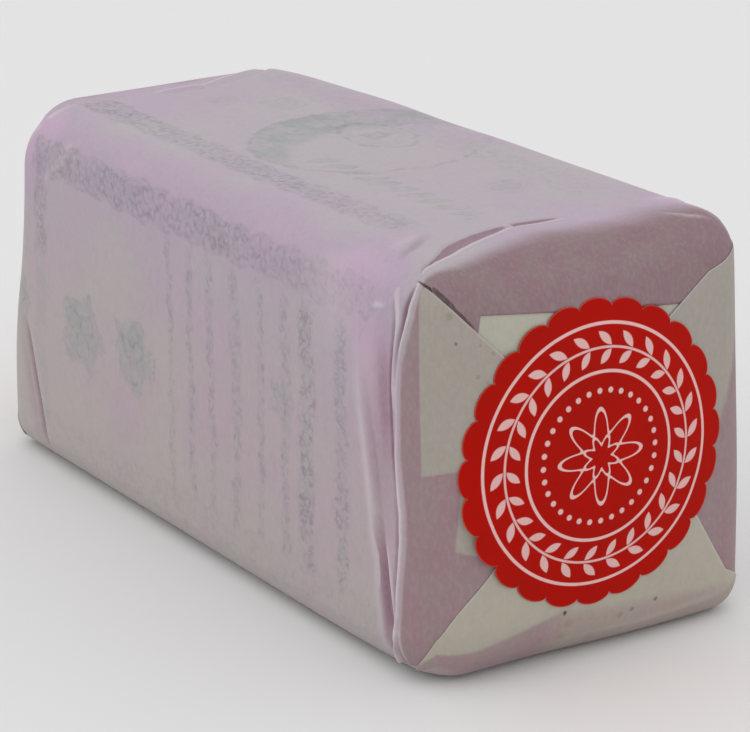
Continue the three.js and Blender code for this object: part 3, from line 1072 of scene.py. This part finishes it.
def wide_print(along, across):
    """What shows through on the two wide sides: two borders, and between them a broad crescent round an
    oval with a rose, a row of leaves and a few blossoms."""
    shown = within(along, -72, 57, 4) * (0.9 - across.ramp(5, 20) * 0.65)
    borders = faded(rose_chain(along, abs(across) - 23.0), shown)
    off_along, off_across = along - CRESCENT[0], across - CRESCENT[1]
    past_outer = spot(off_along, off_across) - CRESCENT_RADIUS
    past_inner = spot(off_along - CRESCENT_DEPTH, off_across) - CRESCENT_RADIUS
    filled = past_outer.ramp(1.5, -1.0) * past_inner.ramp(-3.0, 2.0)
    crescent = Print(past_outer.line(0.1, 1.0) * 0.5, filled * 1.4)
    off_along, off_across = along - OVAL[0], across - OVAL[1]
    radius = spot(off_along * 0.75, off_across * 1.25)
    oval = Print((radius - 9.0).line(0.2, 0.8) * 0.6, (radius - 6.2).line(0.5, 1.2) * 0.4)
    rose = blossom(off_along, off_across, 3.4)
    leaves = faded(leaf_row(along, across + 6.5, 6.0, 3.4), within(along, 2, 60, 3) * 0.8)
    scrolls = blossoms(along, across, (-56, 2, 4.0), (-45, 12, 5.0), (44, 12, 5.0))
    return over(borders, crescent, oval, rose, leaves, faded(scrolls, 0.5))


def paper_height(paint):
    """Fine crumple and grain, from 0 to 1."""
    crumple = paint.noise(9, 3, roughness=0.55)
    pulp = paint.noise(1.2, 2)
    grain = paint.noise(0.35, 1)
    return crumple * 0.8 + pulp * 0.1 + grain * 0.1


def grained(paint, colour):
    """The colour with the paper's fibres and pulp showing as slightly lighter and darker flecks."""
    fibre = paint.noise(0.8, 3, stretch=(1.0, 1.0, 1.8))
    pulp = paint.noise(2.2, 3, roughness=0.7)
    colour = paint.blend(fibre.ramp(0.4, 0.7) * 0.06, colour, FIBRE)
    return paint.blend(pulp.ramp(0.45, 0.75) * 0.09, colour, PULP)


def wrapper_material():
    """Thin lilac paper over a printed inner sheet, grey-green on the ends behind the flaps."""
    paint = Paint("thin_lilac_paper")
    along, walked = paint.chart()
    colour = paper_colour(paint)
    side = walked % (HEIGHT + WIDTH)
    tall = side.ramp(HEIGHT + 0.5, HEIGHT - 0.5)
    wander = (paint.noise(7, 2) - 0.5) * 4.0 + (paint.noise(1.6, 2) - 0.5) * 1.4
    sway = (paint.noise(5, 2, stretch=(1.0, 0.6, 1.4)) - 0.5) * 3.0
    shown = faded(tall_print(along + wander, side + sway), tall)
    shown = over(shown, faded(wide_print(along + wander, side - HEIGHT - HALF[1] + sway), 1 - tall))
    faint = paint.noise(13, 2).ramp(0.2, 0.75) * 0.5 + 0.5
    broken = paint.noise(2.2, 3, roughness=0.6).ramp(0.4, 0.62)
    patches = paint.noise(4.5, 3, roughness=0.65).ramp(0.35, 0.65)
    colour = paint.blend(shown.haze * faint * (0.25 + patches * 0.5), colour, PRINT_HAZE)
    colour = paint.blend(shown.outline * (0.25 + broken * 0.7) * faint * 0.75, colour, PRINT)
    colour = paint.blend(abs(along).ramp(HALF[0] + 1, HALF[0] + 2), colour, CELADON)
    # folded() paints the highlight and shade of creases and pleats
    return paint.finish(grained(paint, folded(paint, colour)), 0.58, paper_height(paint), PAPER_CRUMPLE)


def past_line(across, up, first, second, soft=0.3):
    """1 on the left of the line from the first to the second place, falling to 0 over soft."""
    run = math.hypot(second[0] - first[0], second[1] - first[1])
    normal = ((first[1] - second[1]) / run, (second[0] - first[0]) / run)
    start = normal[0] * first[0] + normal[1] * first[1]
    return (across * normal[0] + up * normal[1] - start).ramp(-soft, soft)


# Dirt on the near end: where it is, its size, its strength and its colour.
Speck = namedtuple("Speck", "across up size strength colour")
LEFT_SPECKS = [
    Speck(-33.6, 76.0, 1.2, 0.55, OLIVE),
    Speck(-32.4, 70.5, 0.5, 0.6, SOOT),
    Speck(-27.3, 69.6, 0.6, 0.7, OLIVE),
    Speck(-24.5, 67.7, 0.6, 0.7, OLIVE),
    Speck(-28.0, 63.5, 0.6, 0.7, OLIVE),
    Speck(-42.0, 83.4, 0.6, 0.6, OLIVE),
    Speck(-26.0, 62.0, 0.8, 0.5, OLIVE),
]
BOTTOM_SPECKS = [
    Speck(-9.0, 11.8, 0.6, 0.9, SOOT),
    Speck(-7.6, 9.0, 1.6, 0.35, BROWN),
    Speck(-8.6, 5.4, 1.6, 0.35, BROWN),
    Speck(13.3, 9.2, 0.6, 0.6, SOOT),
    Speck(4.7, 7.8, 1.0, 0.5, BROWN),
    Speck(7.6, 8.5, 0.7, 0.5, SOOT),
]


def speckled(paint, colour, specks):
    """The colour with ragged specks of dirt on it."""
    across, up = paint.chart()
    ragged = (paint.noise(1.2, 2) - 0.5) * 0.9
    for speck in specks:
        distance = spot(across - speck.across, up - speck.up) + ragged
        shown = distance.ramp(speck.size, speck.size * 0.3) * speck.strength
        colour = paint.blend(shown, colour, speck.colour)
    return colour


def celadon_field(name, paint):
    """Where a flap shows the pale grey-green of its inner paper, as 0 to 1, or None where it doesn't."""
    across, up = paint.chart()
    if name == "left":
        block = past_line(across, up, (-42.6, 84), (-42.6, 40))
        block = block * past_line(across, up, (-42.6, 44.3), (-31.6, 45.8))
        patch = past_line(across, up, (-32.0, 41.7), (-33.4, 29.4))
        patch = patch * past_line(across, up, (-33.4, 29.4), (-29.4, 28.4))
        return block.most(patch)
    if name == "right":
        return 1 - past_line(across, up, (36.0, 57.0), (27.0, 39.0), 1.2)
    if name == "bottom":
        left_part = past_line(across, up, (-38.7, 5.0), (-10.0, 12.3), 0.8)
        right_part = past_line(across, up, (-10.0, 12.0), (33.0, 7.2), 1.5) * 0.55 + 0.45
        right = across.ramp(-14, -6)
        return left_part * (1 - right) + right_part * right
    return None


def flap_material(name, specks):
    """The same paper folded over an end, darker there partly as painted shade, with its field of grey-green
    and a painted highlight along its borders."""
    paint = Paint(f"folded_paper_{name}" + ("_soiled" if specks else ""))
    # the end's colours: pinker, and darker partly as painted shade
    pink, grey = END_COLOURS[name]
    ends = paint.blend(paint.noise(6, 3).ramp(0.3, 0.8) * 0.8, pink, grey)
    # folded() paints the highlight and shade of creases and pleats
    colour = folded(paint, paint.blend(paint.trait("turn"), paper_colour(paint), ends))
    field = celadon_field(name, paint)
    if field is not None:
        bare = BOTTOM_CELADON if name == "bottom" else SIDE_CELADON
        clouds = paint.noise(12, 2).ramp(0.3, 0.75) * 0.3
        colour = paint.blend(field, colour, paint.blend(clouds, bare, CLOUDED_CELADON))
    # painted highlight along the raw borders of every flap but the top one
    if name != "top":
        colour = paint.blend(paint.trait("border").ramp(0.4, 0.15) * 0.3, colour, PAINTED_HIGHLIGHT)
    colour = speckled(paint, grained(paint, colour), specks)
    return paint.finish(colour, 0.6, paper_height(paint), PAPER_CRUMPLE)


# The seal's print, by radius from its middle.
OUTER_RING = 26.1
WREATH = 21.5
INNER_RING = 16.9
BEAD_RING = 13.2
PETAL_RING = 7.2
HEART_RING = 3.4
LEAVES = 26
BEADS = 32
PETALS = 8
LEAF_TILT = math.radians(44)
LEAF_REACH = 2.0  # half its length
LEAF_WIDTH = 0.85  # half its width


def nearest_of(count, angle, radius):
    """Distance along a ring from the nearest of count places on it."""
    share = (angle * (count / (2 * math.pi)) + 0.5) % 1.0 - 0.5
    return share * (2 * math.pi * radius / count)


def wreath(angle, radius):
    """A stem all round with pairs of leaves, each as wide as a parabola along its length."""
    arc = nearest_of(LEAVES, angle, WREATH)
    off = abs(radius - WREATH)
    lengthways = arc * math.cos(LEAF_TILT) + off * math.sin(LEAF_TILT) - 1.6
    sideways = arc * math.sin(LEAF_TILT) - off * math.cos(LEAF_TILT) + 0.9
    along_leaf = lengthways / LEAF_REACH
    leaf = (1 - along_leaf * along_leaf) * LEAF_WIDTH - abs(sideways)
    return leaf.ramp(-0.1, 0.15).most(off.line(0.14, 0.2))


def seal_material():
    """Smooth red label paper. Its pale print is a rose of waving lines in a ring of beads, and round them
    the wreath between two rings."""
    paint = Paint("red_label_paper")
    across, up = paint.chart()
    radius = spot(across, up)
    angle = up.angle_over(across)
    waving = (angle * PETALS).cosine()
    petals = (radius - PETAL_RING - waving * 2.4).line(0.34, 0.2)
    heart = (radius - HEART_RING + waving * 0.9).line(0.26, 0.2)
    beads = spot(nearest_of(BEADS, angle, BEAD_RING), radius - BEAD_RING).ramp(0.7, 0.45)
    printed = (wreath(angle, radius) * 0.92).most(petals).most(heart).most(beads)
    for ring in (OUTER_RING, INNER_RING):
        printed = printed.most((radius - ring).line(0.22, 0.2))

    colour = paint.blend(paint.noise(16, 2).ramp(0.3, 0.75) * 0.5, SEAL_RED, SEAL_DEEP_RED)
    colour = paint.blend(printed * (0.84 + paint.noise(1.5, 2) * 0.16), colour, SEAL_PRINT)
    colour = paint.blend(paint.trait("border").ramp(0.28, 0.05) * 0.35, colour, SEAL_RIM)
    height = paint.noise(8, 2) * 0.8 + paint.noise(0.4, 1) * 0.2
    return paint.finish(colour, 0.55, height, 0.08, specular=0.05)


def floor_material():
    """Plain pale grey."""
    paint = Paint("studio_floor")
    return paint.finish(FLOOR, 0.9, paint.noise(40, 1), 0.01, specular=0.1)


# ---------------------------------------------------------------- studio
FLOOR_RADIUS = 3.0  # metres
# The camera that the photo's edges of the pack fit.
CAMERA_AZIMUTH = math.radians(57.65)
CAMERA_ELEVATION = math.radians(18.336)
CAMERA_ROLL = math.radians(-1.284)
CAMERA_DISTANCE = 664.43
CAMERA_TARGET = np.array([-21.384, 20.993, 25.525])
SENSOR_WIDTH = 36.0
LENS = 139.2
LAMP_PLACE = np.array([0.35, -0.75, 1.7])  # metres
LAMP_SIZE = 1.8
LAMP_POWER = 3.5
SKY_STRENGTH = 0.92


def studio_floor():
    """A round floor under the pack, which catches its soft shadow."""
    steps = 96
    angle = np.arange(steps) * 2 * math.pi / steps
    ring = np.stack([np.cos(angle), np.sin(angle), np.zeros(steps)], axis=-1) * FLOOR_RADIUS * METRE
    return make_piece("floor", ring, [np.arange(steps)[None]], [ring[:, :2]], {}, floor_material())


def set_up(name, data, right, above, back, place):
    """A camera or lamp at a place in metres, with its own axes along right, above and back."""
    thing = bpy.data.objects.new(name, data)
    axes = np.stack([right, above, back], axis=1)
    thing.matrix_world = Matrix([(*row, at) for row, at in zip(axes, place)] + [(0, 0, 0, 1)])
    bpy.context.scene.collection.objects.link(thing)
    return thing


def studio_camera(shift):
    """A camera that looks back along its azimuth and elevation at the target, rolled a little."""
    azimuth, elevation, roll = CAMERA_AZIMUTH, CAMERA_ELEVATION, CAMERA_ROLL
    flat = math.cos(elevation)
    back = np.array([math.sin(azimuth) * flat, -math.cos(azimuth) * flat, math.sin(elevation)])
    level = np.array([math.cos(azimuth), math.sin(azimuth), 0])
    upright = np.cross(back, level)
    right = level * math.cos(roll) + upright * math.sin(roll)
    above = upright * math.cos(roll) - level * math.sin(roll)
    place = (CAMERA_TARGET + back * CAMERA_DISTANCE + shift) / METRE
    data = bpy.data.cameras.new("camera")
    data.sensor_width = SENSOR_WIDTH
    data.lens = LENS
    data.clip_start = 0.01
    bpy.context.scene.camera = set_up("camera", data, right, above, back, place)


def studio_light():
    """An even white sky and a large square lamp overhead that faces the pack."""
    data = bpy.data.lights.new("overhead", "AREA")
    data.shape = "SQUARE"
    data.size = LAMP_SIZE
    data.energy = LAMP_POWER
    back = unit(LAMP_PLACE)
    side = unit(np.cross((0, 0, 1), back))
    set_up("overhead", data, side, np.cross(back, side), back, LAMP_PLACE)
    world = bpy.data.worlds.new("studio")
    world.use_nodes = True
    background = world.node_tree.nodes["Background"]
    background.inputs["Color"].default_value = (1.0, 1.0, 1.0, 1.0)
    background.inputs["Strength"].default_value = SKY_STRENGTH
    bpy.context.scene.world = world
    bpy.context.scene.view_settings.view_transform = "Standard"


def frame_shift():
    """How far the frame has moved the pack so that its box is centred."""
    places = wrapper_places()[0].reshape(-1, 3)
    plain = soften(places, np.zeros(len(places)))
    low, high = (np.array(corner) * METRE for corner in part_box("pack"))
    shift = (low + high) / 2 - (plain.min(axis=0) + plain.max(axis=0)) / 2
    return shift * (1, 1, 0)


def build():
    """The pack's pieces on their body, and the studio round them."""
    shift = frame_shift()
    body = wrapper(shift, wrapper_material())
    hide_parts("pack")
    papers = [body]
    specks = {"left": LEFT_SPECKS, "bottom": BOTTOM_SPECKS}
    for end in (1, -1):
        for name in FLAPS:
            material = flap_material(name, specks.get(name, []) if end > 0 else [])
            papers.append(flap_piece(name, end, shift, material))
    for paper in papers:
        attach(paper, "root")
    red = seal_material()
    for end, node in ((1, "seal_near"), (-1, "seal_far")):
        seal = seal_piece(end, shift, red)
        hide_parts(node)
        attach(seal, "root")
    studio_floor()
    studio_camera(shift)
    studio_light()


build()
